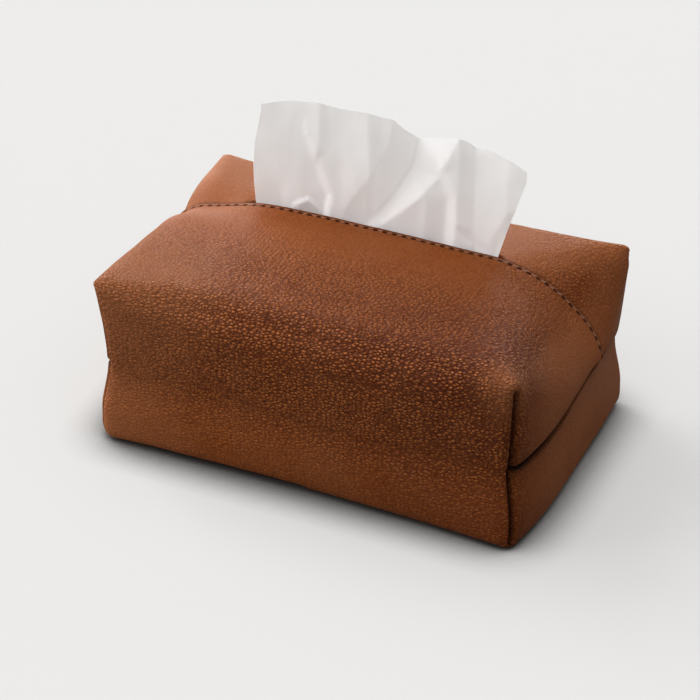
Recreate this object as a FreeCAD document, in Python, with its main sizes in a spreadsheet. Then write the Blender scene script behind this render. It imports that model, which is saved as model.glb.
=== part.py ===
import FreeCAD, Part
import Sketcher
import os
from math import cos, sin, pi
from FreeCAD import Vector, Rotation

# A soft leather tissue cover: one wrap of leather, sewn into a boxed pouch round a pack of tissues.
# Millimetres. X runs along the length, Y to the rear and Z up, from the bottom's centre.

SIZES = {
    # the sewn pouch, from corner to corner at the ears, the waist and the feet
    "ear_half_length": 90, "ear_half_depth": 59, "ear_height": 74, "rear_rise": 3,
    "waist_half_length": 87.2, "waist_half_depth": 55.5, "waist_height": 34,
    "foot_half_length": 89.5, "foot_half_depth": 58, "foot_height": 12, "foot_round": 6.5,
    # how far the filled pouch swells past those corners
    "crown_height": 76.5, "end_bulge": 6.5, "top_end_bulge": 3.5, "lower_end_bulge": 2.5,
    "side_bulge": 4.5, "top_side_bulge": 0.5, "foot_bulge": 1, "wall_belly": 0.8,
    "edge_round": 14, "ear_round": 4, "right_end_round": 30, "left_end_round": 16,
    "right_end_fall": 4, "left_end_fall": 4, "cap_half_length": 22, "cap_half_depth": 12,
    # leather, lap seam and slit
    "leather": 1.5, "lap_rise": 1.2, "hem_width": 12, "seam_offset": 22,
    "slit_length": 110, "slit_width": 13, "slit_centre": -6, "slit_floor": 54,
    # seam allowances turned to the inside of the four corner seams and the two end seams
    "allowance_width": 7, "allowance_thickness": 3, "allowance_foot": 6, "allowance_drop": 8,
    "allowance_inlay": 0.7, "end_allowance_margin": 12, "end_allowance_inlay": 1.2,
    # thread
    "stitch_pitch": 4.2, "stitch_length": 3, "stitch_radius": 0.4, "stitch_to_edge": 2.6, "row_margin": 2,
    # tissues
    "stack_length": 158, "stack_depth": 102, "stack_height": 51, "stack_bevel": 1.5,
    "paper": 0.4, "raised_left": -60, "raised_right": 47, "raised_pleat": 2.2, "raised_pitch": 27,
    "raised_top": 125.5, "raised_left_top": 119, "raised_right_top": 115, "raised_flare": 10.5,
    "raised_rise": 22, "raised_drop": 8, "raised_sag": 1.5, "raised_margin": 4,
    "raised_gap": 0.4, "raised_behind_lip": 4.5,
}
LOOSE_SHEETS = 6

doc = FreeCAD.newDocument("tissue_cover")
sheet = doc.addObject("Spreadsheet::Sheet", "sizes")
for row, (alias, value) in enumerate(SIZES.items(), start=1):
    sheet.set(f"A{row}", alias)
    sheet.set(f"B{row}", str(value))
    sheet.setAlias(f"B{row}", alias)
doc.recompute()


def size(alias):
    return float(getattr(sheet, alias))


def feature(kind, name, **expressions):
    """A document object whose properties follow cells of the sheet."""
    made = doc.addObject(kind, name)
    made.Label = name
    for prop, expression in expressions.items():
        made.setExpression(prop.replace("__", "."), expression)
    return made


def shaped(name, shape):
    made = feature("Part::Feature", name)
    made.Shape = shape
    return made


# ---- form of the filled pouch ----

SIDE_STEPS = 8      # spans along each side of a ring
FLAT = 0.001        # mm2: corners nearer one line than this make no facet
EIGHTH = 1 - cos(pi / 4)
LOWER_LEVELS = ("base", "foot_turn", "foot", "waist")
UPPER_LEVELS = ("over_waist", "wall", "shoulder", "turn", "rim", "slope", "cap")
TOP_SHARE = {"rim": 0, "slope": 0.4, "cap": 1}


def pull(y):
    """0 at the ears and 1 at the lap seam, where the wrap is pulled tightest over an end."""
    seam = size("seam_offset")
    reach = size("ear_half_depth") + (seam if y < seam else -seam)
    return 1 - min(1, abs(y - seam) / reach) ** 2


def swell(share):
    """0 at both ends of a side and 1 in its middle."""
    return 1 - abs(share) ** 3


def reach_at(level, waist, high, foot, swollen, turn, top, cap, inset):
    """How far out and how high a wall stands at a level; waist, high and foot are its half sizes there."""
    waist_z, foot_turn = size("waist_height"), size("foot_round")
    foot += swollen * size("foot_bulge")
    if level == "base":
        return foot - foot_turn, inset
    if level == "foot_turn":
        return foot - foot_turn * EIGHTH, inset + (foot_turn - inset) * EIGHTH
    if level == "foot":
        return foot, size("foot_height")
    if level in ("waist", "over_waist"):
        return waist, waist_z
    if level == "wall":
        return (waist + high) / 2 + swollen * size("wall_belly"), (waist_z + top - turn) / 2
    if level == "shoulder":
        return high, top - turn
    if level == "turn":
        return high - turn * EIGHTH, top - turn * EIGHTH
    share, rim = TOP_SHARE[level], high - turn
    return rim + (cap - rim) * share, top + (size("crown_height") - inset - top) * (1 - (1 - share) ** 2)


def end_point(level, side, share, inset):
    """A point on an end, share of the way from mid depth to a rear corner, or below 0 to a front one."""
    tight = pull(share * size("ear_half_depth"))
    bulge = size("lower_end_bulge" if level in LOWER_LEVELS else "end_bulge") * swell(share)
    waist = size("waist_half_length") + bulge - inset
    high = size("ear_half_length") + size("top_end_bulge") * swell(share) - inset
    end_round = size("right_end_round" if side > 0 else "left_end_round")
    fall = size("right_end_fall" if side > 0 else "left_end_fall") * tight
    turn = size("ear_round") + (end_round - size("ear_round")) * tight
    top = size("ear_height") + size("rear_rise") * share / 2 - fall - inset
    x, z = reach_at(level, waist, high, size("foot_half_length") - inset, swell(share), turn, top,
                    size("cap_half_length"), inset)
    return side * x, z


def wall_point(level, face, share, inset):
    """A point on the front or rear wall, share of the way from mid length to a corner."""
    waist = size("waist_half_depth") + size("side_bulge") * swell(share) - inset
    high = size("ear_half_depth") + size("top_side_bulge") * swell(share) - inset
    turn = size("ear_round") + (size("edge_round") - size("ear_round")) * swell(share)
    top = size("ear_height") + size("rear_rise") * face / 2 - inset
    return reach_at(level, waist, high, size("foot_half_depth") - inset, 0, turn, top,
                    size("cap_half_depth"), inset)


def sides(level, inset):
    """The four sides of the pouch's outline at a level, run round it: front, right, rear and left."""
    steps = [2 * k / SIDE_STEPS - 1 for k in range(SIDE_STEPS + 1)]
    corner_x, _ = end_point(level, 1, 1, inset)
    corner_y, _ = wall_point(level, 1, 1, inset)
    found = {}
    for side in (1, -1):
        end = [end_point(level, side, share, inset) for share in steps]
        wall = [wall_point(level, side, share, inset) for share in steps]
        found["end", side] = [Vector(x, share * corner_y, z) for share, (x, z) in zip(steps, end)]
        found["wall", side] = [Vector(share * corner_x, side * y, z) for share, (y, z) in zip(steps, wall)]
    return [found["wall", -1], found["end", 1], found["wall", 1][::-1], found["end", -1][::-1]]


def ring(level, inset):
    """The outline as four smooth curves that meet at the corner seams."""
    edges = []
    for points in sides(level, inset):
        curve = Part.BSplineCurve()
        curve.interpolate(Points=points, Parameters=[k / SIDE_STEPS for k in range(SIDE_STEPS + 1)])
        edges.append(curve.toShape())
    return Part.Wire(edges)


def pouch(inset):
    """The whole pouch as a solid: a lower and an upper half that meet at the waist."""
    lower = Part.makeLoft([ring(level, inset) for level in LOWER_LEVELS], True, True)
    upper = Part.makeLoft([ring(level, inset) for level in UPPER_LEVELS], True, True)
    return lower.fuse(upper)


def polygon(points):
    return Part.Face(Part.makePolygon([*points, points[0]]))


def hollow(inset):
    """The space inside the leather, as flat triangles: nobody sees it, so it needn't be smooth."""
    rings = [[point for side in sides(level, inset) for point in side[:-1]] for level in LOWER_LEVELS + UPPER_LEVELS]
    faces = [polygon(rings[0]), polygon(rings[-1])]
    for low, high in zip(rings, rings[1:]):
        for k in range(len(low)):
            a, b, c, d = low[k - 1], low[k], high[k], high[k - 1]
            for corners in ((a, b, c), (a, c, d)):
                if (corners[1] - corners[0]).cross(corners[2] - corners[0]).Length > FLAT:
                    faces.append(polygon(corners))
    shell = Part.Shell(faces)
    shell.sewShape()
    return Part.Solid(shell)


outside = shaped("pouch_outside", pouch(0))
inside = shaped("pouch_inside", hollow(size("leather")))
hem_outside = shaped("hem_outside", pouch(-size("lap_rise")))

# ---- leather: shell, slit, folded hem and the seam allowances turned inside ----

shell = feature("Part::Cut", "shell")
shell.Base, shell.Tool = outside, inside

hem_box = feature("Part::Box", "hem_box", Length="3 * sizes.ear_half_length", Width="sizes.hem_width",
                  Height="sizes.crown_height", Placement__Base__x="-1.5 * sizes.ear_half_length",
                  Placement__Base__y="sizes.seam_offset - sizes.hem_width",
                  Placement__Base__z="sizes.waist_height")
hem_slice = feature("Part::Common", "hem_slice")
hem_slice.Base, hem_slice.Tool = hem_outside, hem_box
hem = feature("Part::Cut", "hem")
hem.Base, hem.Tool = hem_slice, inside

slit = feature("Part::Box", "slit", Length="sizes.slit_length", Width="sizes.slit_width",
               Height="sizes.crown_height", Placement__Base__x="sizes.slit_centre - sizes.slit_length / 2",
               Placement__Base__y="sizes.seam_offset", Placement__Base__z="sizes.slit_floor")
open_shell = feature("Part::Cut", "open_shell")
open_shell.Base, open_shell.Tool = shell, slit

CORNERS = {"front_left": (-1, -1), "front_right": (1, -1), "rear_left": (-1, 1), "rear_right": (1, 1)}
ENDS = {"left": -1, "right": 1}
allowances = []


def mirrored(place, width, side):
    """The lower edge of a box whose outer face stands at place, on the plus or the minus side."""
    return f"{place} - {width}" if side > 0 else f"-({place})"


for corner, (side, face) in CORNERS.items():
    across = mirrored("sizes.waist_half_length - sizes.allowance_inlay", "sizes.allowance_thickness", side)
    along = mirrored("sizes.waist_half_depth - sizes.allowance_inlay", "sizes.allowance_width", face)
    allowances.append(feature(
        "Part::Box", f"{corner}_allowance", Length="sizes.allowance_thickness", Width="sizes.allowance_width",
        Height="sizes.ear_height - sizes.allowance_foot - sizes.allowance_drop", Placement__Base__x=across,
        Placement__Base__y=along, Placement__Base__z="sizes.allowance_foot"))
for end, side in ENDS.items():
    reach = mirrored("sizes.waist_half_length + sizes.end_allowance_inlay", "sizes.allowance_width", side)
    allowances.append(feature(
        "Part::Box", f"{end}_end_allowance", Length="sizes.allowance_width",
        Width="2 * (sizes.waist_half_depth - sizes.end_allowance_margin)", Height="sizes.allowance_thickness",
        Placement__Base__x=reach, Placement__Base__y="sizes.end_allowance_margin - sizes.waist_half_depth",
        Placement__Base__z="sizes.waist_height - sizes.allowance_thickness / 2"))
leather = feature("Part::MultiFuse", "leather_cover")
leather.Shapes = [open_shell, hem] + allowances
doc.recompute()

# ---- thread ----

def stitch(centre, along):
    """One visible stitch: a short bar lying on the leather, square in section."""
    run = Vector(along).normalize()
    side = run.cross(Vector(0, 0, 1) if abs(run.z) < 0.9 else Vector(1, 0, 0)).normalize()
    lift, start = run.cross(side), centre - run * (size("stitch_length") / 2)
    turns = [k * pi / 2 for k in range(5)]
    outline = [start + (side * cos(turn) + lift * sin(turn)) * size("stitch_radius") for turn in turns]
    return Part.Face(Part.makePolygon(outline)).extrude(run * size("stitch_length"))


def straight_row(first, last):
    """Stitches at the pitch along a straight seam."""
    run = last - first
    count = int(run.Length // size("stitch_pitch"))
    return Part.makeCompound([stitch(first + run * ((k + 0.5) / count), run) for k in range(count)])


def lap_row():
    """The topstitch beside the folded edge, down one end, along the top and down the other."""
    row_y = size("seam_offset") - size("stitch_to_edge")
    outline = hem_outside.Shape.slice(Vector(0, 1, 0), row_y)[0]
    count = int(outline.Length // size("stitch_pitch"))
    points = outline.discretize(Number=count + 1)
    lowest = size("waist_height") + size("row_margin")
    bars = [stitch((a + b) / 2, b - a) for a, b in zip(points, points[1:]) if min(a.z, b.z) > lowest]
    return Part.makeCompound(bars)


threads = {"lap_stitching": lap_row()}
margin = size("row_margin")
for corner, (side, face) in CORNERS.items():
    x = side * (size("waist_half_length") - size("allowance_inlay") - size("allowance_thickness"))
    y = face * (size("waist_half_depth") - size("allowance_inlay") - size("allowance_width") / 2)
    low, high = size("allowance_foot") + margin, size("ear_height") - size("allowance_drop") - margin
    threads[f"{corner}_corner_stitching"] = straight_row(Vector(x, y, low), Vector(x, y, high))
for end, side in ENDS.items():
    x = side * (size("waist_half_length") + size("end_allowance_inlay") - size("allowance_width") / 2)
    y = size("waist_half_depth") - size("end_allowance_margin") - margin
    z = size("waist_height") - size("allowance_thickness") / 2
    threads[f"{end}_end_stitching"] = straight_row(Vector(x, -y, z), Vector(x, y, z))
for name, shape in threads.items():
    shaped(name, shape)

# ---- tissues ----

def section_body(name, corners, lengths):
    """A body whose YZ outline runs square from corner to corner and is padded evenly along X.

    lengths gives the sheet's expression for each side's length, except the last two, which close it.
    """
    body = feature("PartDesign::Body", name)
    sketch = body.newObject("Sketcher::SketchObject", f"{name}_section")
    plane = next(f for f in body.Origin.OriginFeatures if f.Role == "YZ_Plane")
    sketch.AttachmentSupport, sketch.MapMode = (plane, ""), "FlatFace"
    count = len(corners)
    for k in range(count):
        first, last = corners[k], corners[(k + 1) % count]
        sketch.addGeometry(Part.LineSegment(Vector(*first, 0), Vector(*last, 0)), False)
    for k in range(count):
        sketch.addConstraint(Sketcher.Constraint("Coincident", k, 2, (k + 1) % count, 1))
        sketch.addConstraint(Sketcher.Constraint("Vertical" if k % 2 else "Horizontal", k))
    sketch.addConstraint(Sketcher.Constraint("PointOnObject", 0, 1, -1))
    half = sketch.addConstraint(Sketcher.Constraint("DistanceX", 0, 1, -1, 1, -corners[0][0]))
    sketch.setExpression(f"Constraints[{half}]", "sizes.stack_depth / 2")
    for k, expression in enumerate(lengths):
        (ax, ay), (bx, by) = corners[k], corners[k + 1]
        kind, value = ("DistanceY", by - ay) if k % 2 else ("DistanceX", bx - ax)
        ends = (k, 1, k, 2) if value > 0 else (k, 2, k, 1)
        side = sketch.addConstraint(Sketcher.Constraint(kind, *ends, abs(value)))
        sketch.setExpression(f"Constraints[{side}]", expression)
    pad = body.newObject("PartDesign::Pad", f"{name}_pad")
    pad.Profile, pad.Midplane = sketch, True
    pad.setExpression("Length", "sizes.stack_length")
    sketch.Visibility = False
    return body, pad


def folded_sheet(name, level):
    """A sheet folded once over two leaves of its neighbours, its crease at the front or at the rear."""
    p, half = size("paper"), size("stack_depth") / 2
    corners = [(-half, 0), (half - p, 0), (half - p, p), (p - half, p), (p - half, 3 * p), (half - p, 3 * p),
               (half - p, 4 * p), (-half, 4 * p)]
    leaf, inner = "sizes.stack_depth - sizes.paper", "sizes.stack_depth - 2 * sizes.paper"
    body, _ = section_body(name, corners, [leaf, "sizes.paper", inner, "2 * sizes.paper", inner, "sizes.paper"])
    body.setExpression("Placement.Base.z", f"sizes.leather + sizes.stack_height + {2 * level} * sizes.paper")
    if level % 2:
        body.Placement.Rotation = Rotation(Vector(0, 0, 1), 180)
    return body


half_depth = size("stack_depth") / 2
block = [(-half_depth, 0), (half_depth, 0), (half_depth, size("stack_height")), (-half_depth, size("stack_height"))]
stack, stack_pad = section_body("tissue_stack", block, ["sizes.stack_depth", "sizes.stack_height"])
stack.setExpression("Placement.Base.z", "sizes.leather")
doc.recompute()
softened = stack.newObject("PartDesign::Chamfer", "stack_folds")
softened.Base = (stack_pad, [f"Edge{k}" for k, edge in enumerate(stack_pad.Shape.Edges, start=1)
                             if edge.BoundBox.XLength > size("stack_length") - 1])
softened.setExpression("Size", "sizes.stack_bevel")
stack_pad.Visibility = False

loose = [folded_sheet(f"loose_sheet_{level}", level) for level in range(LOOSE_SHEETS)]
interfolded = feature("Part::Compound", "interfolded_tissues")
interfolded.Links = loose
next_sheet = folded_sheet("next_tissue", LOOSE_SHEETS)


def raised_sheet():
    """The drawn sheet: paper creased in pleats, standing in the slit under its uneven top edge."""
    left, right, flare, margin = (size(f"raised_{key}") for key in ("left", "right", "flare", "margin"))
    centre = size("seam_offset") + size("raised_behind_lip")
    bottom = size("leather") + size("stack_height") + (2 * LOOSE_SHEETS + 4) * size("paper") + size("raised_gap")
    first, span = left - margin, right + flare - left + 2 * margin
    count = round(2 * span / size("raised_pitch"))
    creases = []
    for k in range(count + 1):
        swing = size("raised_pleat") * (1 if k % 2 else -1)
        creases.append(Vector(first + span * k / count, centre + swing, bottom))
    half = Vector(0, size("paper"), 0)
    front, rear = [p - half for p in creases], [p + half for p in creases]
    pleats = Part.Face(Part.makePolygon(front + rear[::-1] + front[:1])).extrude(Vector(0, 0, size("raised_top")))
    top, low = size("raised_top"), size("crown_height")
    rim = [Vector(left, 0, size("raised_left_top")), Vector(left + size("raised_rise"), 0, top),
           Vector(right - size("raised_drop"), 0, top - size("raised_sag")),
           Vector(right + flare, 0, size("raised_right_top")), Vector(right, 0, low),
           Vector(right, 0, bottom), Vector(left, 0, bottom)]
    outline = Part.Face(Part.makePolygon(rim + rim[:1]))
    return pleats.common(outline.extrude(Vector(0, 2 * centre, 0)))


raised = shaped("raised_tissue", raised_sheet())
doc.recompute()

# ---- check and write ----

NODES = ["leather_cover", *threads, "tissue_stack", "interfolded_tissues", "next_tissue", "raised_tissue"]
failed = [obj.Name for obj in doc.Objects if {"Invalid", "Error"} & set(obj.State)]
if failed:
    raise RuntimeError(f"not recomputed: {failed}")
os.makedirs("parts", exist_ok=True)
for name in NODES:
    shape = doc.getObject(name).Shape
    if shape.isNull() or not shape.isValid():
        raise RuntimeError(f"{name} has no valid shape")
    box = shape.BoundBox
    print(f"{name}: {len(shape.Solids)} solids, {shape.Volume:.0f} mm3, "
          f"{box.XLength:.1f} x {box.YLength:.1f} x {box.ZLength:.1f}, z {box.ZMin:.1f}..{box.ZMax:.1f}")
    shape.exportStep(f"parts/{name}.step")
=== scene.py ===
from bisect import bisect_left
from math import atan2, copysign, cos, exp, hypot, pi, radians, sin, sqrt

import bmesh
import bpy
from mathutils import Matrix, Vector, noise


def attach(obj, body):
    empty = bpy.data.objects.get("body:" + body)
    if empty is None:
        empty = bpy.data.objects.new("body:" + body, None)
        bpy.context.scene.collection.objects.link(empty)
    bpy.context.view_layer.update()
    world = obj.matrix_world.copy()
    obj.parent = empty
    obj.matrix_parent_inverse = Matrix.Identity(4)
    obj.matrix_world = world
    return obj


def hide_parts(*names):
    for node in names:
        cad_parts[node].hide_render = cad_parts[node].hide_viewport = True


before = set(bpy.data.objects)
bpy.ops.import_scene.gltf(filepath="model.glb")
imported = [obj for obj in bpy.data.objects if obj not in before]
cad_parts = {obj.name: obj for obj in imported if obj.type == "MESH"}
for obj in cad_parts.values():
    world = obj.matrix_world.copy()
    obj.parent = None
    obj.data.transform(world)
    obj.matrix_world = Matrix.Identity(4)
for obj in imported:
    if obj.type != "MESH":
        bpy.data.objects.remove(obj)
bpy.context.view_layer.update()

mm = 0.001
hair = 0.01              # millimetres: nearer than this counts as lying on a face of the box
sharpAngle = 55          # degrees: faces that meet at more than this keep a sharp edge
scene = bpy.context.scene
print("frame loaded:", len(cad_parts), "nodes")


# A shader value that can be added, taken away and multiplied like a number.
class Socket:
    def __init__(self, tree, link):
        self.tree, self.link = tree, link

    def __add__(self, other):
        return self.tree.maths("ADD", self, other)

    def __radd__(self, other):
        return self.tree.maths("ADD", other, self)

    def __sub__(self, other):
        return self.tree.maths("SUBTRACT", self, other)

    def __rsub__(self, other):
        return self.tree.maths("SUBTRACT", other, self)

    def __mul__(self, other):
        return self.tree.maths("MULTIPLY", self, other)


# The nodes of a material or of the sky.
class Shader:
    def __init__(self, owner):
        owner.use_nodes = True
        self.made, self.nodes, self.links = owner, owner.node_tree.nodes, owner.node_tree.links
        self.nodes.clear()

    # Any node: its type, its settings, and the values or links of its sockets.
    def node(self, kind, settings=None, values=(), output=0):
        new = self.nodes.new(kind)
        for key, value in (settings or {}).items():
            setattr(new, key, value)
        pairs = values.items() if isinstance(values, dict) else enumerate(values)
        for key, value in pairs:
            if isinstance(value, Socket):
                self.links.new(value.link, new.inputs[key])
            else:
                new.inputs[key].default_value = value
        return Socket(self, new.outputs[output]) if new.outputs else None

    def maths(self, operation, *values):
        return self.node("ShaderNodeMath", {"operation": operation}, values)

    # A colour between two colours.
    def mix(self, share, first, second):
        new = self.nodes.new("ShaderNodeMix")
        new.data_type = "RGBA"
        for key, value in ((0, share), (6, first), (7, second)):
            if isinstance(value, Socket):
                self.links.new(value.link, new.inputs[key])
            else:
                new.inputs[key].default_value = value
        return Socket(self, new.outputs[2])

    # 0 below low and 1 above high, smooth between them.
    def between(self, value, low, high):
        return self.node("ShaderNodeMapRange", {"interpolation_type": "SMOOTHSTEP"},
                         {"Value": value, "From Min": low, "From Max": high})

    def attribute(self, name):
        return self.node("ShaderNodeAttribute", {"attribute_name": name}, output="Fac")

    def place(self):
        return self.node("ShaderNodeTexCoord", output="Object")

    def noise(self, spot, size, detail=2.0, rough=0.5):
        return self.node("ShaderNodeTexNoise", {}, {"Vector": spot, "Scale": 1 / size, "Detail": detail,
                                                   "Roughness": rough})

    def finish(self, **values):
        inputs = {name.replace("_", " "): value for name, value in values.items()}
        shader = self.node("ShaderNodeBsdfPrincipled", {}, inputs)
        self.node("ShaderNodeOutputMaterial", {}, [shader])
        return self.made


def rgb(red, green, blue):
    return (red, green, blue, 1)


# 0 at low and 1 at high, smooth between them; high may be the smaller.
def ramp(value, low, high):
    share = min(1, max(0, (value - low) / (high - low)))
    return share * share * (3 - 2 * share)


camera = {
    "azimuth": 24.38, "elevation": 31.29, "roll": 0.68,          # degrees
    "distance": 1235.4, "slideRight": 4.71, "slideUp": -28.43,   # millimetres
    "lens": 154.29, "sensor": 36, "clip": 50,
}


def makeCamera():
    turn, rise, roll = (radians(camera[k]) for k in ("azimuth", "elevation", "roll"))
    back = Vector((sin(turn) * cos(rise), -cos(turn) * cos(rise), sin(rise)))
    right = Vector((cos(turn), sin(turn), 0))
    up = back.cross(right)
    right, up = cos(roll) * right + sin(roll) * up, cos(roll) * up - sin(roll) * right
    eye = -camera["slideRight"] * right - camera["slideUp"] * up + camera["distance"] * back
    data = bpy.data.cameras.new("studioCamera")
    data.lens, data.sensor_width, data.clip_start = camera["lens"], camera["sensor"], camera["clip"] * mm
    made = bpy.data.objects.new("studioCamera", data)
    made.matrix_world = Matrix.Translation(eye * mm) @ Matrix((right, up, back)).transposed().to_4x4()
    scene.collection.objects.link(made)
    scene.camera = made


studio = {                                    # metres
    "floorSize": 8.0, "floorColour": (0.33, 0.325, 0.315), "floorSeen": (0.270, 0.267, 0.263),
    "floorGlow": (0.42, 0.417, 0.412), "floorRoughness": 0.9, "floorShine": 0.1,
    # the painted shadow beside the part: how far it reaches, how open the floor is where it starts, its
    # colour
    "contactDistance": 0.020, "contactOpen": 0.35, "contactColour": (0.05, 0.046, 0.043), "contactSamples": 6,
    "skyColour": (1, 0.995, 0.985), "skyLight": 0.28, "skySeen": 0.6,
    "windowShine": 8.0, "windowSide": (-0.62, 0.78, 0), "windowFrom": 0.4,
    # from where each lamp shines, its strength and how many degrees it spans
    "lamps": {
        "windowLamp": ((-0.84, 0.26, 0.56), 2.6, 40),
        "ceilingLamp": ((-0.10, -0.16, 1.0), 2.1, 110),
        "sideLamp": ((-0.85, -0.42, 0.28), 1.5, 30),
    },
}


def makeStudio():
    bm = bmesh.new()
    bmesh.ops.create_grid(bm, x_segments=2, y_segments=2, size=studio["floorSize"] / 2)
    floor = addObject("studioFloor", bm, floorMaterial(), smooth=False, unit=1)
    scene.world = skyShader()
    for name, (source, strength, width) in studio["lamps"].items():
        lamp = bpy.data.lights.new(name, "SUN")
        lamp.energy, lamp.angle = strength, radians(width)
        hang(lamp, Vector(source))


# An even sky, with a bright window behind and to the left that only shines in reflections.
def skyShader():
    sky = Shader(bpy.data.worlds.new("studioSky"))
    direction = sky.node("ShaderNodeTexCoord", output="Generated")
    facing = sky.node("ShaderNodeVectorMath", {"operation": "DOT_PRODUCT"},
                      [direction, studio["windowSide"]], "Value")
    glossy = sky.node("ShaderNodeLightPath", output="Is Glossy Ray")
    seen = sky.node("ShaderNodeLightPath", output="Is Camera Ray")
    shine = sky.between(facing, studio["windowFrom"], 1.0) * studio["windowShine"]
    strength = studio["skyLight"] + seen * studio["skySeen"] + glossy * shine
    colour = rgb(*studio["skyColour"])
    light = sky.node("ShaderNodeBackground", {}, {"Color": colour, "Strength": strength})
    sky.node("ShaderNodeOutputWorld", {}, [light])
    return sky.made


# Hangs a lamp at a place, turned towards the origin.
def hang(lamp, place):
    made = bpy.data.objects.new(lamp.name, lamp)
    made.location, made.rotation_euler = place, place.to_track_quat("Z", "Y").to_euler()
    scene.collection.objects.link(made)


# The paper looks brighter to the camera than it lights the cover from below.
def floorMaterial():
    floor = Shader(bpy.data.materials.new("floorPaper"))
    toCamera = floor.node("ShaderNodeLightPath", output="Is Camera Ray")
    reach = {"Distance": studio["contactDistance"]}
    around = floor.node("ShaderNodeAmbientOcclusion", {"samples": studio["contactSamples"]}, reach, "AO")
    # painted shadow: the floor seen by the camera darkens towards the part by its ambient occlusion, and its
    # glow fades there too
    clear = floor.between(around, studio["contactOpen"], 1.0)     # 0 right beside the part
    seen = floor.mix(clear, rgb(*studio["contactColour"]), rgb(*studio["floorSeen"]))
    shade = floor.mix(toCamera, rgb(*studio["floorColour"]), seen)
    glow = floor.mix(toCamera * clear, rgb(0, 0, 0), rgb(*studio["floorGlow"]))
    return floor.finish(Base_Color=shade, Roughness=studio["floorRoughness"],
                        Specular_IOR_Level=studio["floorShine"], Emission_Color=glow, Emission_Strength=1)


# Turns a bmesh into an object at the origin; unit is the length in metres that it is drawn in.
def addObject(name, bm, material, smooth=True, unit=mm):
    bmesh.ops.scale(bm, vec=(unit,) * 3, verts=bm.verts)
    mesh = bpy.data.meshes.new(name)
    bm.to_mesh(mesh)
    bm.free()
    for face in mesh.polygons:
        face.use_smooth = smooth
    mesh.set_sharp_from_angle(angle=radians(sharpAngle))
    mesh.materials.append(material)
    made = bpy.data.objects.new(name, mesh)
    scene.collection.objects.link(made)
    return made


cover = {                                     # millimetres
    "length": 90, "depth": 59, "height": 73.5,           # half sizes and height of the box it is shaped from
    "earDepth": 59, "waistDepth": 55.5, "waist": 34, "footDepth": 58, "footHeight": 12, "wallFlare": 0.7,
    "crown": 76.6, "crownLength": 2.6, "crownDepth": 2.2,        # the last two are powers: more is flatter
    "sideBulge": 4.5, "sideEar": 0.5, "sideFoot": 1,
    "baseRound": 6.5, "frontEdge": 14, "rearEdge": 9.5, "earCorner": 4.2,
    "frontPull": 1.8, "rearPull": 1.25,                  # powers: how the lap seam's pull fades to the ears
    # each end: half lengths at its ears, waist and feet, and how its ears flare
    # fullness above and below its seam, lean of the lower one to the rear, and fullness right under the seam
    # how far the edge under the lap is rounded, inwards and down, and the round of its corners
    # how far the top falls towards it and dips beside the lap, and how far its seam rises and sinks in
    "ends": {
        1: {"ear": 91.0, "waist": 88.2, "foot": 91.4, "flare": 0.5,
            "bulge": 7, "lowBulge": 3.2, "lowLean": -0.6, "underSeam": 3.6,
            "turn": (50, 35), "corner": 4.5,
            "fall": 0.5, "notch": 0, "seamRise": 7.4, "groove": 4.4},
        -1: {"ear": 92.3, "waist": 87.8, "foot": 90.2, "flare": 1.9,
             "bulge": 6, "lowBulge": 2.5, "lowLean": 0, "underSeam": 1.5,
             "turn": (16, 9), "corner": 7,
             "fall": 1.2, "notch": 6.0, "seamRise": 2.96, "groove": 2.2},
    },
    "bulgeTaper": 3.5, "underSeamPower": 2.5, "rollOver": 2.2, "rollUnder": 1.6, "seamLean": 0.85,
    "overhang": 0.8, "overhangHeight": 1.6, "overhangFrom": 0.05, "overhangTo": 6,
    "notchWidth": 9, "notchBefore": 3,
    # how far each ear and foot is moved, by its end and by its side: -1 is the front and 1 the rear
    "earShift": {
        (1, 1): (1.8, 0, 2.8), (1, -1): (-0.6, 0, 0.9), (-1, 1): (0, 0, 3.5), (-1, -1): (-0.8, 0, -0.6),
    },
    "footShift": {
        (1, 1): (0.6, 1.2, 0), (1, -1): (0.6, -5.8, 0), (-1, 1): (0, 0, 0), (-1, -1): (-0.4, -3, 0),
    },
    "leather": 1.5, "seam": 22, "lapRise": 1.25, "lapEdge": 0.6, "hem": 12,
    "slitFrom": -62, "slitTo": 48.5, "slitOpen": 9, "slitRound": 3, "slitFade": 1.5,
    "slitSag": 1.2, "slitSagReach": 5,
    # a corner seam: depth, half width at the foot and what the ear adds to it, and where the seam fades out
    "groove": 4.6, "grooveWidth": 0.63, "grooveWiden": 0.54, "grooveFoot": 3, "grooveEar": 3, "grooveFade": 4,
    "frontWrap": 62,                                     # degrees that its front lip turns
    "endGrooveWidth": 0.9, "endGrooveLeast": 0.1,
    "fine": 0.3, "coarse": 2.3, "growth": 1.45,          # steps of the grid, and how fast they grow
    # soft unevenness above the bottom, and the share, size and place in the noise of each of its waves
    "ripple": 0.4, "rippleFrom": 1, "waves": ((1, 26, (3.1, 7.7, 1.3)), (0.35, 26 / 3, (9.2, 0.4, 5.5))),
}
stitching = {                                 # millimetres
    "pitch": 4.2, "length": 2.3, "width": 0.8, "height": 0.5, "toEdge": 2.4, "start": 39,
    "holeLength": 1.25, "holeWidth": 0.75, "sink": 0.9, "sinkPower": 4, "pathStep": 0.25,
    "away": 99,                               # stands for anywhere that has no row
    "dark": (0.16, 0.050, 0.016), "light": (0.30, 0.105, 0.036), "twist": 1.1, "distortion": 0.6,
    "relief": 0.08, "strength": 0.6, "roughness": 0.62, "sheen": 0.2,
}


def swell(share):
    return 1 - abs(share) ** 3     # 0 at both ends of a side and 1 in its middle


# 0 at the ears and 1 at the lap seam, where the wrap is pulled tightest over an end.
def pull(y):
    seam = cover["seam"]
    if y < seam:
        return 1 - min(1, (seam - y) / (cover["depth"] + seam)) ** cover["frontPull"]
    return 1 - min(1, (y - seam) / (cover["depth"] - seam)) ** cover["rearPull"]


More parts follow.
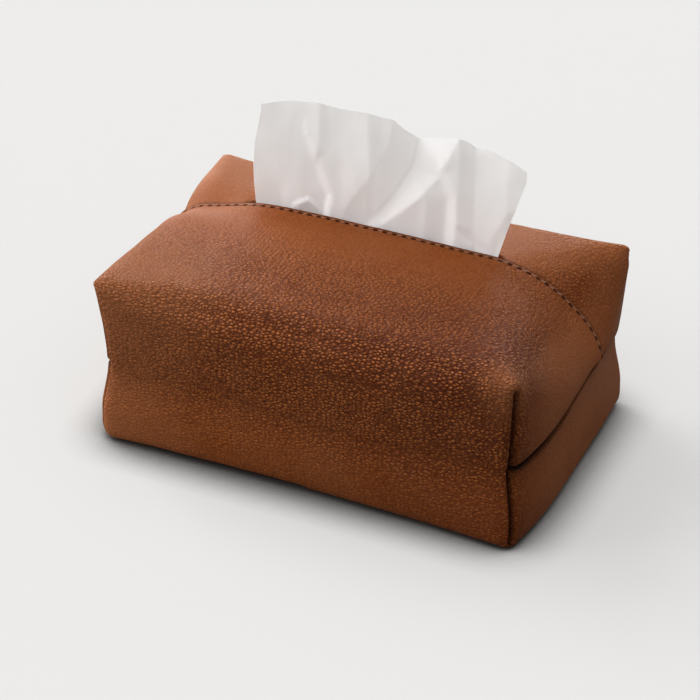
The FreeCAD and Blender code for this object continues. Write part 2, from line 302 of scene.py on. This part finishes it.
# How far out a corner seam stands at height z.
def cornerReach(z, foot, waist, ear, flare):
    if z < cover["waist"]:
        return foot + (waist - foot) * ramp(z, cover["footHeight"], cover["waist"])
    rise = (z - cover["waist"]) / (cover["height"] - cover["waist"])
    return waist + (ear - waist) * rise ** flare


# Half length of the cover at depth y and height z: the end swells above and below its seam.
def endReach(side, y, z):
    end, deep = cover["ends"][side], y / cover["depth"]
    corner = cornerReach(z, end["foot"], end["waist"], end["ear"], end["flare"])
    gap = z - cover["waist"]
    roll = sqrt(1 - max(0, 1 - abs(gap) / cover["rollOver" if gap > 0 else "rollUnder"]) ** 2)
    if gap < 0:
        bulge = end["lowBulge"] * (1 + end["lowLean"] * deep)
        bulge += end["underSeam"] * (z / cover["waist"]) ** cover["underSeamPower"]
    else:
        bulge = end["bulge"] - cover["bulgeTaper"] * gap / (cover["height"] - cover["waist"])
    return corner + bulge * roll * swell(deep)


# Half depth of the cover at length x and height z: both long walls belly out at the waist.
def wallReach(x, z):
    share = x / cover["length"]
    corner = cornerReach(z, cover["footDepth"], cover["waistDepth"], cover["earDepth"], cover["wallFlare"])
    gap = (z - cover["waist"]) / (cover["waist"] if z < cover["waist"] else cover["height"] - cover["waist"])
    bulge = cover["sideBulge"] * (1 - gap * gap) + cover["sideEar" if gap > 0 else "sideFoot"] * gap
    return corner + bulge * swell(share)


# Height of the top: a low dome that falls towards the lap seam at both ends.
def topHeight(x, y):
    side = 1 if x > 0 else -1
    end, share, deep = cover["ends"][side], x / cover["length"], y / cover["depth"]
    dome = (1 - abs(share) ** cover["crownLength"]) * (1 - abs(deep) ** cover["crownDepth"])
    fall = end["fall"] * pull(y) * abs(share) ** 2
    notch = exp(-((y - cover["seam"] + cover["notchBefore"]) / cover["notchWidth"]) ** 2)
    fall += end["notch"] * notch * ramp(abs(share), 0.5, 1)
    return cover["height"] + (cover["crown"] - cover["height"]) * dome - fall


# Small differences between the four ears and the four feet of a soft, hand-filled pouch.
def settle(point, share, deep, rise):
    for (side, face), ear in cover["earShift"].items():
        foot = cover["footShift"][(side, face)]
        weight = (0.5 + 0.5 * side * share) * (0.5 + 0.5 * face * deep)
        weight *= weight
        point += weight * (rise * rise * Vector(ear) + (1 - rise) * Vector(foot))
    return point


# True on the faces that the lap runs over: the top and the upper half of both ends.
def onLap(x, y, z):
    top = z > cover["height"] - hair
    end = abs(x) > cover["length"] - hair and z > cover["waist"]
    return top or end


# How far the rear edge of the slit stands back from the folded edge.
def slitWidth(x):
    middle, half = (cover["slitFrom"] + cover["slitTo"]) / 2, (cover["slitTo"] - cover["slitFrom"]) / 2
    share = abs(x - middle) / half
    return cover["slitOpen"] * sqrt(1 - share ** cover["slitRound"]) if share < 1 else 0


# Opens the slit behind the folded edge: its rear lip moves back and sags.
def openSlit(point, x, y):
    lap, width = y - cover["seam"], slitWidth(x)
    rest = max(0, 1 - lap / (cover["depth"] - cover["seam"]))
    point.y += width * rest ** cover["slitFade"]
    point.z -= cover["slitSag"] * exp(-lap / cover["slitSagReach"]) * width / cover["slitOpen"]


# How far the wrap of an end is lifted by its seam, less what the upper lip hangs over it.
def seamLift(side, y, z, inset):
    share, gap = y / cover["depth"], z - cover["waist"]
    lift = cover["ends"][side]["seamRise"] * (1 - share ** 2) * (1 + cover["seamLean"] * share)
    lift *= ramp(abs(gap), cover["waist"], 0)
    if cover["overhangFrom"] < gap < cover["overhangTo"] and inset == 0:
        lift -= cover["overhang"] * exp(-(gap / cover["overhangHeight"]) ** 2) * swell(share)
    return lift


# Radii here: of the upright corner, out to an end and to a wall, and over the top of that end and wall.
def edgeRounds(side, x, y, z):
    corner, edge = cover["ends"][side]["corner"], cover["frontEdge" if y < 0 else "rearEdge"]
    corner += (cover["earCorner"] - corner) * (z / cover["height"]) ** 2
    if z <= cover["waist"]:
        return (corner,) * 5
    turnX, turnZ = cover["ends"][side]["turn"]
    wall = corner + (edge - corner) * swell(x / cover["length"])
    return corner, corner + (turnX - corner) * pull(y), wall, corner + (turnZ - corner) * pull(y), wall


# Where a point of a plain box lies on the filled cover, or inside it by inset.
def coverPoint(spot, inset=0):
    x, y, z = spot
    length, depth, height = cover["length"], cover["depth"], cover["height"]
    side = 1 if x > 0 else -1
    out, deep, full = endReach(side, y, z), wallReach(x, z), topHeight(x, y)
    px, py, pz = abs(x) / length * out, abs(y) / depth * deep, z / height * full
    if abs(x) > length - hair:
        pz += seamLift(side, y, z, inset)
    # past a rounded edge's centre line, dx, dy and lift say how far, in radii
    corner, rx, ry, endZ, wallZ = edgeRounds(side, x, y, z)
    dx, dy = max(0, px - (out - rx)) / rx, max(0, py - (deep - ry)) / ry
    if z > cover["waist"]:
        rz = (endZ * dx + wallZ * dy) / (dx + dy) if dx + dy > 0 else corner
        core = min(pz, full - rz)
        lift = max(0, pz - core) / rz
    else:
        rz = cover["baseRound"]
        core = max(pz, rz)
        lift = -max(0, core - pz) / rz
    flat, seamTurn = hypot(dx, dy), None
    if dx > 0 and dy > 0:                    # the corner seam's front lip turns further than its other one
        turn, wrap, even = atan2(dx, dy), radians(cover["frontWrap"]), pi / 4
        seamTurn = corner * (turn - even)
        turn = turn * wrap / even if turn < even else wrap + (turn - even) * (pi / 2 - wrap) / even
        dx, dy = flat * sin(turn), flat * cos(turn)
    size = hypot(flat, lift) or 1
    nx, ny, nz = dx / size, dy / size, lift / size
    sx, sy = copysign(1, x), copysign(1, y)
    point = Vector((sx * (min(px, out - rx) + rx * nx), sy * (min(py, deep - ry) + ry * ny), core + rz * nz))
    outward = Vector((sx * nx / rx, sy * ny / ry, nz / rz)).normalized()
    point += outward * (coverDetail(spot, point, seamTurn) if inset == 0 else -inset)
    if z > height - hair and y > cover["seam"]:
        openSlit(point, x, y)
    return settle(point, x / length, y / depth, z / height)


# 0 near the top end of a corner seam and 1 further down.
def belowEar(z):
    top = cover["height"] - cover["grooveEar"]
    return ramp(z, top, top - cover["grooveFade"])


# Height of the lap, the sewn grooves and the soft ripples above the plain form.
def coverDetail(spot, point, seamTurn):
    x, y, z = spot
    height, lap = 0, y - cover["seam"]
    if onLap(x, y, z) and -cover["hem"] < lap <= 0:
        edge = sqrt(1 - max(0, 1 + lap / cover["lapEdge"]) ** 2)
        height += cover["lapRise"] * ramp(lap, -cover["hem"], 0) * edge
    if seamTurn is not None and z < cover["height"] - hair:
        wide = cover["grooveWidth"] + cover["grooveWiden"] * z / cover["height"]
        shown = ramp(z, 0, cover["grooveFoot"]) * belowEar(z)
        height -= cover["groove"] * exp(-(seamTurn / wide) ** 2) * shown
    if abs(x) > cover["length"] - hair:
        least = cover["endGrooveLeast"]
        deep = (least + (1 - least) * swell(y / cover["depth"])) * cover["ends"][1 if x > 0 else -1]["groove"]
        height -= deep * exp(-((z - cover["waist"]) / cover["endGrooveWidth"]) ** 2)
    if z > cover["rippleFrom"]:
        height += cover["ripple"] * sum(share * noise.noise(point / size + Vector(place))
                                        for share, size, place in cover["waves"])
    return height


crevices = {                                  # millimetres: how wide the shade lies in each sewn groove
    "corner": 1.5, "over": 0.9, "under": 0.8, "underFrom": 1, "lap": 1.1, "lapShare": 0.75,
    "halo": 5, "haloShare": 0.3,              # a fainter shade above and below an end seam
}


# Painted shade: 1 at the bottom of a sewn groove, where no light reaches.
def creviceAmount(spot):
    x, y, z = spot
    inX, inY = cover["length"] - abs(x), cover["depth"] - abs(y)
    corner = exp(-((inX + inY) / crevices["corner"]) ** 2) * belowEar(z)
    gap = z - cover["waist"]
    if gap > 0:
        line = exp(-(gap / crevices["over"]) ** 2)
    else:
        line = exp(-(max(0, -gap - crevices["underFrom"]) / crevices["under"]) ** 2)
    end = max(line, crevices["haloShare"] * exp(-abs(gap) / crevices["halo"])) if inX < hair else 0
    lap = exp(-((y - cover["seam"]) / crevices["lap"]) ** 2) if onLap(x, y, z) else 0
    return max(corner, end, lap * crevices["lapShare"])


# Places of the grid lines from first to last, closer together beside both ends.
def cutsBetween(first, last):
    half, offsets, step = (last - first) / 2, [0], cover["fine"]
    while offsets[-1] + step < half:
        offsets.append(offsets[-1] + step)
        step = min(step * cover["growth"], cover["coarse"])
    stretch = half / offsets[-1]
    offsets = [offset * stretch for offset in offsets]
    return [first + offset for offset in offsets] + [last - offset for offset in reversed(offsets[:-1])]


def gridLines(*stops):
    lines = cutsBetween(stops[0], stops[1])
    for first, last in zip(stops[1:], stops[2:]):
        lines += cutsBetween(first, last)[1:]
    return lines


# Points of the plain box along the stitched row, from the left end's seam over the top to the right's.
def lapSpots():
    row, length, height = cover["seam"] - stitching["toEdge"], cover["length"], cover["height"]
    start = stitching["start"]
    rise, run = int((height - start) / stitching["pathStep"]), int(2 * length / stitching["pathStep"])
    up = [Vector((-length, row, start + (height - start) * k / rise)) for k in range(rise)]
    along = [Vector((-length + 2 * length * k / run, row, height)) for k in range(run + 1)]
    down = [Vector((length, row, spot.z)) for spot in reversed(up)]
    return up + along + down


# Distance round the box along the lap: x on the top, carried on down both ends.
def unrolled(spot):
    drop = cover["height"] - spot[2]
    return spot[0] + copysign(drop, spot[0]) if abs(spot[0]) > cover["length"] - hair else spot[0]


lapPath = [(unrolled(spot), coverPoint(spot)) for spot in lapSpots()]
lapRuns = [0]
for (_, first), (_, last) in zip(lapPath, lapPath[1:]):
    lapRuns.append(lapRuns[-1] + (last - first).length)
lapKeys = [key for key, _ in lapPath]


# Distance along the stitched row, in millimetres, at an unrolled place.
def runAt(key):
    k = min(len(lapKeys) - 1, max(1, bisect_left(lapKeys, key)))
    span = lapKeys[k] - lapKeys[k - 1]
    share = (key - lapKeys[k - 1]) / span if span else 0
    return lapRuns[k - 1] + (lapRuns[k] - lapRuns[k - 1]) * share


# Where each look changes, in millimetres. A pair says where a ramp begins and ends along one axis.
zones = {
    "grain": {
        "least": 0.22, "frontDepth": (12, -22), "frontLow": 0.25, "frontHeight": (12, 48),
        "besideSeam": 0.35, "seamDepth": (-54, -40), "seamHeight": (66, 72),
        "rear": 0.36, "rearLength": (30, 70), "rearHeight": (50, 66),
        "onEnd": 0.8, "endLength": (72, 88), "endDepth": (-58, -44), "endHeight": (73, 59),
    },
    # rubbed wear round the ears, and painted sheen on the end, the rear top, the left ear and the lower left
    # front
    "wearAndSheen": {
        "end": 0.42, "endLength": (80, 89), "endDepth": (-62, -32),
        "rear": 0.42, "rearDepth": (20, 32), "rearHeight": (68, 75),
        "ear": (90, 59, 73), "rightSpread": 20, "leftSpread": 60,
        "foot": (-90, -59, 8), "footSpread": 45, "footShare": 0.9,
    },
    # painted shade: where the colour darkens because less light falls, on the front, its shoulder, its lower
    # right and the right rear
    "paintedShade": {
        "frontLength": (-35, 80), "frontDepth": (28, -42),
        "onEnd": 0.9, "endLength": (84, 88), "endDepth": (-50, -15),
        "shoulder": 0.55, "shoulderLength": (-92, -42), "shoulderDepth": (-8, -34),
        "shoulderHeight": (55, 67),
        "low": 1.25, "lowLength": (20, 85), "lowHeight": (42, 12), "lowFrom": -40, "lowEnd": (-56, -50),
        "rear": 0.9, "rearLength": (55, 80), "rearDepth": (10, 30), "rearHeight": (76, 66), "rearFrom": 40,
    },
}


# How deep the pebbled grain shows: full over the front shoulder, faint where the leather is stretched.
def grainAmount(point):
    x, y, z = point
    zone = zones["grain"]
    front = zone["frontLow"] + (1 - zone["frontLow"]) * ramp(z, *zone["frontHeight"])
    front *= ramp(y, *zone["frontDepth"])
    front *= 1 - zone["besideSeam"] * ramp(y, *zone["seamDepth"]) * ramp(z, *zone["seamHeight"])
    rear = zone["rear"] * ramp(x, *zone["rearLength"]) * ramp(z, *zone["rearHeight"])
    end = ramp(abs(x), *zone["endLength"]) * ramp(z, *zone["endHeight"]) * ramp(y, *zone["endDepth"])
    return zone["least"] + (1 - zone["least"]) * max(front * (1 - zone["onEnd"] * end), rear)


# Paler round the ears, most of all on the left, partly rubbed wear and partly painted sheen from the light on
# the left; a little painted sheen on the end and the rear top, and more on the lower left front.
def wearAndSheenAmount(point):
    x, y, z = point
    zone = zones["wearAndSheen"]
    end = zone["end"] * ramp(x, *zone["endLength"]) * ramp(y, *zone["endDepth"])
    rear = zone["rear"] * ramp(y, *zone["rearDepth"]) * ramp(z, *zone["rearHeight"])
    toEar = (Vector((abs(x), abs(y), z)) - Vector(zone["ear"])).length
    ear = 1 - toEar / zone["rightSpread" if x > 0 else "leftSpread"]
    foot = zone["footShare"] * (1 - (point - Vector(zone["foot"])).length / zone["footSpread"])
    return max(end, rear, ear, foot)


# Painted shade where less light falls: the front's right half, shoulder and lower right, and below the right
# rear ear.
def paintedShadeAmount(point):
    x, y, z = point
    zone = zones["paintedShade"]
    onEnd = ramp(x, *zone["endLength"])
    front = ramp(x, *zone["frontLength"]) * ramp(y, *zone["frontDepth"])
    front *= 1 - zone["onEnd"] * onEnd * ramp(y, *zone["endDepth"])
    shoulder = zone["shoulder"] * ramp(x, *zone["shoulderLength"]) * ramp(z, *zone["shoulderHeight"])
    shoulder *= ramp(y, *zone["shoulderDepth"])
    low = rear = 0
    if y < zone["lowFrom"]:
        low = zone["low"] * ramp(x, *zone["lowLength"]) * ramp(z, *zone["lowHeight"])
        low *= 1 - onEnd * ramp(y, *zone["lowEnd"])
    if z > zone["rearFrom"]:
        rear = zone["rear"] * ramp(x, *zone["rearLength"]) * ramp(z, *zone["rearHeight"])
        rear *= ramp(y, *zone["rearDepth"])
    return max(front + shoulder, low, rear)


def makeCover():
    lines = (gridLines(-cover["length"], cover["length"]),
             gridLines(-cover["depth"], cover["seam"], cover["depth"]),
             gridLines(0, cover["waist"], cover["height"]))
    bm = bmesh.new()
    bmesh.ops.create_cube(bm, size=1)
    for axis in range(3):
        alongAxis = [e for e in bm.edges if abs((e.verts[0].co - e.verts[1].co)[axis]) > 0.5]
        bmesh.ops.subdivide_edges(bm, edges=alongAxis, cuts=len(lines[axis]) - 2, use_grid_fill=True)
    for vert in bm.verts:
        counts = [round((vert.co[axis] + 0.5) * (len(lines[axis]) - 1)) for axis in range(3)]
        vert.co = [lines[axis][count] for axis, count in enumerate(counts)]
    # open the slit: the narrow strip just behind the folded edge
    seam, height = cover["seam"], cover["height"]
    middle = [(face, face.calc_center_median()) for face in bm.faces]
    strip = [face for face, centre in middle
             if centre.z > height - hair and 0 < centre.y - seam < cover["fine"]
             and cover["slitFrom"] < centre.x < cover["slitTo"]]
    bmesh.ops.delete(bm, geom=strip, context="FACES")
    copied = bmesh.ops.duplicate(bm, geom=bm.verts[:] + bm.edges[:] + bm.faces[:])["geom"]
    lining = [item for item in copied if isinstance(item, bmesh.types.BMVert)]
    liningFaces = [item for item in copied if isinstance(item, bmesh.types.BMFace)]
    names = ("lapRun", "lapGap", "grain", "wearAndSheen", "paintedShade", "crevice")
    run, rowGap, grain, wearAndSheen, paintedShade, crevice = (bm.verts.layers.float.new(name) for name in names)
    inner = set(lining)
    for vert in bm.verts:
        spot = vert.co.copy()
        vert.co = coverPoint(spot, cover["leather"] if vert in inner else 0)
        far = not onLap(*spot) or spot.y > seam or vert in inner
        vert[rowGap] = stitching["away"] if far else spot.y - seam + stitching["toEdge"]
        vert[run] = runAt(unrolled(spot))
        vert[grain] = grainAmount(vert.co)
        # the second value is painted shade where less light falls
        vert[wearAndSheen], vert[paintedShade] = wearAndSheenAmount(vert.co), paintedShadeAmount(vert.co)
        # painted shade in the sewn grooves, beside the end seams and along the lap's edge
        vert[crevice] = creviceAmount(spot)
    bmesh.ops.reverse_faces(bm, faces=liningFaces)
    rim = [edge for edge in bm.edges if edge.is_boundary]
    bmesh.ops.bridge_loops(bm, edges=rim)
    piece = addObject("leatherCover", bm, leatherMaterial())
    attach(piece, "cover")
    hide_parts("leather_cover")
    print("leather cover:", len(piece.data.polygons), "faces")
    return piece


leather = {
    "base": (0.375, 0.093, 0.0135), "deep": (0.105, 0.020, 0.003), "paintedShadeTone": (0.17, 0.031, 0.003),
    "wornAndSheen": (0.52, 0.186, 0.068), "paintedHighlight": (0.61, 0.190, 0.042),
    "holeShade": (0.075, 0.018, 0.006), "hidden": (0.008, 0.003, 0.002),
    # how much of each colour shows where it is strongest
    "mottleShare": 0.3, "paintedShadeToneShare": 0.55, "paintedHighlightShare": 0.85, "deepShare": 0.85, "wornAndSheenShare": 0.75,
    "holeShadeShare": 0.92, "hiddenShare": 0.97, "rowShare": 0.45,
    # pebbles: size in millimetres, how they are stretched and how far their painted highlight is shifted up,
    # how uneven they are
    "cell": 1.2, "stretch": (0.64, 1.0, 1.12), "lean": (-0.00007, 0.00020, 0.00025), "uneven": 0.86,
    "drift": 0.0005, "driftSize": 2.4, "patch": 9, "patchLeast": 0.8, "patchMore": 0.4,
    # relief: height in millimetres, the parts of a pebble, and the places in it where each colour ends
    "relief": 0.7, "round": 1.5, "domeShare": 0.55, "edgeShare": 0.45, "edge": 0.26,
    "crease": (0.01, 0.19), "paintedHighlightFrom": (0.14, 0.5), "pore": 0.35, "poreDepth": 0.08,
    "mottle": 22, "mottleFrom": (0.3, 0.75), "hole": (0.55, 1.1), "holeDepth": 1.3,
    "row": (0.12, 0.5), "rowDepth": 0.5,
    "roughness": 0.46, "creaseRough": 0.25, "mottleRough": 0.08, "sewnRough": 0.4, "shine": 0.19,
}


def leatherMaterial():
    skin = Shader(bpy.data.materials.new("pebbledLeather"))
    spot = skin.place()
    drift = skin.node("ShaderNodeTexNoise", {}, {"Vector": spot, "Scale": 1 / (leather["driftSize"] * mm),
                                                 "Detail": 2.0}, "Color")
    bent = skin.node("ShaderNodeVectorMath", {"operation": "MULTIPLY_ADD"},
                     [drift, (leather["drift"],) * 3, spot])
    pulled = skin.node("ShaderNodeVectorMath", {"operation": "MULTIPLY"}, [bent, leather["stretch"]])
    cell = {"Vector": pulled, "Scale": 1 / (leather["cell"] * mm), "Randomness": leather["uneven"]}
    middle = skin.node("ShaderNodeTexVoronoi", {"feature": "F1"}, cell)
    # a copy of the pebbles, shifted by lean, puts a painted highlight on the upper side of each pebble, as if
    # lit from above
    raised = skin.node("ShaderNodeVectorMath", {"operation": "SUBTRACT"}, [pulled, leather["lean"]])
    upper = skin.node("ShaderNodeTexVoronoi", {"feature": "F1"}, {**cell, "Vector": raised})
    edge = skin.node("ShaderNodeTexVoronoi", {"feature": "DISTANCE_TO_EDGE"}, cell)
    dome = 1 - middle * middle * leather["round"]
    pebble = dome * leather["domeShare"] + skin.between(edge, 0.0, leather["edge"]) * leather["edgeShare"]
    pores = skin.noise(spot, leather["pore"] * mm, 2.0)
    patch = skin.noise(spot, leather["patch"] * mm, 2.0)
    amount = skin.attribute("grain") * (patch * leather["patchMore"] + leather["patchLeast"])
    # stitch holes along the folded edge, painted dark as shade in them, with a fainter painted shade along
    # their row
    run, gap = skin.attribute("lapRun"), skin.attribute("lapGap")
    phase = skin.maths("PINGPONG", run, stitching["pitch"] / 2)
    holeX = phase * (1 / stitching["holeLength"])
    holeY = gap * (1 / stitching["holeWidth"])
    away = skin.maths("SQRT", holeX * holeX + holeY * holeY)
    hole = 1 - skin.between(away, *leather["hole"])
    row = 1 - skin.between(skin.maths("ABSOLUTE", gap), *leather["row"])
    height = pebble * amount + pores * leather["poreDepth"] - hole * leather["holeDepth"]
    height -= row * leather["rowDepth"]
    mottle = skin.noise(spot, leather["mottle"] * mm, 3.0)
    # painted shade in the creases between the pebbles, in the deep colour
    crease = (1 - skin.between(edge, *leather["crease"])) * amount
    # painted highlight on each pebble
    paintedHighlight = (1 - skin.between(upper, *leather["paintedHighlightFrom"])) * amount
    cloud = skin.between(mottle, *leather["mottleFrom"])
    # painted shade in the sewn grooves, in the hidden colour
    crevice = skin.attribute("crevice")
    # painted shade in the stitch holes and along the stitch row
    holeShade = skin.maths("MAXIMUM", hole, row * leather["rowShare"])
    # the worn colour is a paler tone for the random mottle, and for the wear with painted sheen below
    tone = skin.mix(cloud * leather["mottleShare"], rgb(*leather["base"]), rgb(*leather["wornAndSheen"]))
    # layers painted into the colour: painted shade where less light falls, painted highlights on the pebbles,
    # painted shade in their creases, wear with painted sheen, and painted shade in the stitch holes and sewn
    # grooves
    layers = {"paintedShadeTone": skin.attribute("paintedShade"), "paintedHighlight": paintedHighlight, "deep": crease, "wornAndSheen": skin.attribute("wearAndSheen"),
              "holeShade": holeShade, "hidden": crevice}
    for name, share in layers.items():
        tone = skin.mix(share * leather[name + "Share"], tone, rgb(*leather[name]))
    bump = skin.node("ShaderNodeBump", {}, {"Strength": 1.0, "Distance": leather["relief"] * mm,
                                            "Height": height})
    rough = leather["roughness"] + crease * leather["creaseRough"] + mottle * leather["mottleRough"]
    rough += (holeShade + crevice) * leather["sewnRough"]
    return skin.finish(Base_Color=tone, Roughness=rough, Normal=bump, Specular_IOR_Level=leather["shine"])


def threadMaterial():
    thread = Shader(bpy.data.materials.new("tanThread"))
    spot = thread.place()
    twist = thread.node("ShaderNodeTexWave", {"bands_direction": "DIAGONAL"},
                        {"Vector": spot, "Scale": 1 / (stitching["twist"] * mm),
                         "Distortion": stitching["distortion"]}, "Fac")
    # painted shade in the twist's grooves: the colour darkens where the same wave lowers the bump
    tone = thread.mix(twist, rgb(*stitching["dark"]), rgb(*stitching["light"]))
    bump = thread.node("ShaderNodeBump", {}, {"Strength": stitching["strength"],
                                              "Distance": stitching["relief"] * mm, "Height": twist})
    return thread.finish(Base_Color=tone, Roughness=stitching["roughness"], Normal=bump,
                         Sheen_Weight=stitching["sheen"])


# One small bead of thread for each stitch, its ends sunk into the holes.
def makeStitches(material):
    bm = bmesh.new()
    count = int(lapRuns[-1] // stitching["pitch"])
    for k in range(count):
        along = (k + 0.5) * stitching["pitch"]
        n = min(len(lapRuns) - 1, bisect_left(lapRuns, along))
        point, ahead = lapPath[n][1], lapPath[min(n + 2, len(lapPath) - 1)][1]
        forward = (ahead - lapPath[max(n - 2, 0)][1]).normalized()
        upward = forward.cross(Vector((0, 1, 0))).normalized() * -1
        across = upward.cross(forward)
        for vert in bmesh.ops.create_icosphere(bm, subdivisions=2, radius=0.5)["verts"]:
            x, y, z = vert.co
            sunk = -stitching["sink"] * stitching["height"] * (2 * x) ** stitching["sinkPower"]
            vert.co = (point + forward * x * stitching["length"] + across * y * stitching["width"]
                       + upward * (z * stitching["height"] + sunk))
    piece = addObject("lapStitches", bm, material)
    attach(piece, "cover")
    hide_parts("lap_stitching")
    print("stitches:", count)
    return piece


tissue = {                                    # millimetres, outline as (X, Z)
    "left": ((-60.0, 58), (-60.4, 75), (-61.6, 85), (-61.9, 95), (-61.0, 106), (-58.8, 119)),
    "right": ((46, 58), (47.5, 76), (52.7, 96.5), (57.6, 116)),
    "top": ((-62, 118.6), (-58.5, 119.4), (-52, 122.2), (-44, 124.4), (-33, 125.3), (-17, 125.2), (0, 125.4),
            (6, 123.6), (17, 123.0), (34, 123.8), (43, 122.0), (51, 118.4), (58, 115.0)),
    "bottom": 59.6, "sideHeight": 62, "behindLip": 3.6, "paper": 0.07,
    "width": 118, "height": 66, "step": 0.9,   # the grid's squares are about a step wide
    "foldFoot": 1.5,                           # a fold's foot is this many times its width
    "held": 0.45, "free": (66, 92),            # share of each fold inside the slit, and where it comes free
    "lean": 0.03, "leanFrom": 76,
    # crumple: height, size along X and Z, and place in the noise of each wave
    "crumple": ((0.5, 9, 12, 4.2), (0.12, 3.5, 5, 8.1)),
}
# each fold: its line, how far it stands forward at its start and end, and its width to the left and right
folds = (
    {"line": ((-33, 127), (-33, 106)), "rise": (-0.7, -0.9), "wide": (7, 3)},
    {"line": ((-39, 108), (-34, 97), (-28.5, 86), (-30.5, 74)), "rise": (1.0, 2.8), "wide": (7, 1.9)},
    {"line": ((-42, 77), (-37, 80.4), (-33, 78)), "rise": (-1.6, -2.0), "wide": (1.6, 2.4)},
    {"line": ((-11.5, 127), (-10.5, 101), (-9.4, 70)), "rise": (-1.0, -1.6), "wide": (8, 4)},
    {"line": ((-12.5, 72), (-9.1, 78.7), (3.6, 96.7), (10.5, 110), (14.5, 128)),
     "rise": (2.8, 6.0), "wide": (7, 2.2), "wideEnd": (9, 10)},
    {"line": ((20.5, 106), (24.6, 96.4), (24.0, 72)), "rise": (1.2, 3.0), "wide": (6, 2.6)},
    {"line": ((36.5, 126), (36.5, 84)), "rise": (3.4, 1.6), "wide": (5, 9)},
    {"line": ((27, 84), (46, 76), (54, 92)), "rise": (0.6, 0.9), "wide": (3, 2)},
    {"line": ((-60, 100), (-50, 84), (-47, 72)), "rise": (0.3, 0.7), "wide": (4, 3)},
)


# Reads a simple outline at a value, straight between its points.
def along(outline, value, axis):
    other = 1 - axis
    for first, last in zip(outline, outline[1:]):
        if first[axis] <= value <= last[axis]:
            share = (value - first[axis]) / (last[axis] - first[axis])
            return first[other] + (last[other] - first[other]) * share
    return outline[0][other] if value < outline[0][axis] else outline[-1][other]


# Distance from a fold's line, below 0 on its left, and how far along it the nearest point is.
def toLine(line, x, z):
    best, total, walked = (1e9, 0), 0, 0
    for (ax, az), (bx, bz) in zip(line, line[1:]):
        total += hypot(bx - ax, bz - az)
    for (ax, az), (bx, bz) in zip(line, line[1:]):
        run = hypot(bx - ax, bz - az)
        share = min(1, max(0, ((x - ax) * (bx - ax) + (z - az) * (bz - az)) / run ** 2))
        nearX, nearZ = ax + share * (bx - ax), az + share * (bz - az)
        distance = hypot(x - nearX, z - nearZ)
        if distance < abs(best[0]):
            best = (copysign(distance, x - nearX), (walked + share * run) / total)
        walked += run
    return best


# How far all folds together stand forward of the plain sheet.
def foldHeight(x, z):
    height = 0
    for fold in folds:
        distance, share = toLine(fold["line"], x, z)
        way = 0 if distance < 0 else 1
        wide = fold["wide"][way] + (fold.get("wideEnd", fold["wide"])[way] - fold["wide"][way]) * share
        rise = fold["rise"][0] + (fold["rise"][1] - fold["rise"][0]) * share
        height += rise * max(0, 1 - abs(distance) / (tissue["foldFoot"] * wide))
    return height


def makeTissue(material):
    bm = bmesh.new()
    columns, rows = int(tissue["width"] / tissue["step"]), int(tissue["height"] / tissue["step"])
    bmesh.ops.create_grid(bm, x_segments=columns, y_segments=rows, size=0.5)
    centre, bottom = cover["seam"] + tissue["behindLip"], tissue["bottom"]
    for vert in bm.verts:
        u, v = vert.co.x + 0.5, vert.co.y + 0.5
        beside = bottom + v * tissue["sideHeight"]
        left, right = along(tissue["left"], beside, 1), along(tissue["right"], beside, 1)
        x = left + (right - left) * u
        z = bottom + v * (along(tissue["top"], x, 0) - bottom)
        free = ramp(z, *tissue["free"])
        forward = foldHeight(x, z) * (tissue["held"] + (1 - tissue["held"]) * free)
        crumple = sum(high * noise.noise(Vector((x / sizeX, z / sizeZ, place)))
                      for high, sizeX, sizeZ, place in tissue["crumple"])
        lean = tissue["lean"] * max(0, z - tissue["leanFrom"])
        vert.co = (x, centre - forward - crumple * free + lean, z)
    bm.normal_update()
    bmesh.ops.solidify(bm, geom=bm.verts[:] + bm.edges[:] + bm.faces[:], thickness=tissue["paper"])
    bmesh.ops.recalc_face_normals(bm, faces=bm.faces)
    piece = addObject("raisedTissue", bm, material)
    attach(piece, "drawn_tissue")
    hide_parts("raised_tissue")
    print("tissue:", len(piece.data.polygons), "faces")
    return piece


sheetLook = {                                 # millimetres
    "shaded": (0.95, 0.942, 0.938), "bright": (0.98, 0.972, 0.97), "cloud": 12,
    "fibre": 0.7, "fibreRough": 0.6, "relief": 0.06, "strength": 0.35,
    "roughness": 0.92, "shine": 0.1, "through": 0.85, "scatter": 4,
}


def paperMaterial():
    paper = Shader(bpy.data.materials.new("tissuePaper"))
    spot = paper.place()
    fibres = paper.noise(spot, sheetLook["fibre"] * mm, 3.0, sheetLook["fibreRough"])
    cloud = paper.noise(spot, sheetLook["cloud"] * mm, 2.0)
    tone = paper.mix(cloud, rgb(*sheetLook["shaded"]), rgb(*sheetLook["bright"]))
    bump = paper.node("ShaderNodeBump", {}, {"Strength": sheetLook["strength"],
                                             "Distance": sheetLook["relief"] * mm, "Height": fibres})
    return paper.finish(Base_Color=tone, Roughness=sheetLook["roughness"], Normal=bump,
                        Specular_IOR_Level=sheetLook["shine"], Subsurface_Weight=sheetLook["through"],
                        Subsurface_Scale=sheetLook["scatter"] * mm, Subsurface_Radius=(1, 1, 1))


makeCamera()
makeStudio()
print("camera, floor and lamps in place")
makeCover()
threads = threadMaterial()
makeStitches(threads)
paper = paperMaterial()
makeTissue(paper)
for name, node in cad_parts.items():
    if name in ("leather_cover", "lap_stitching", "raised_tissue"):
        continue
    material = threads if "stitching" in name else paper
    for slot in node.material_slots:
        slot.material = material
print("hidden thread and tissues have their materials")

scene.view_settings.view_transform = "Standard"
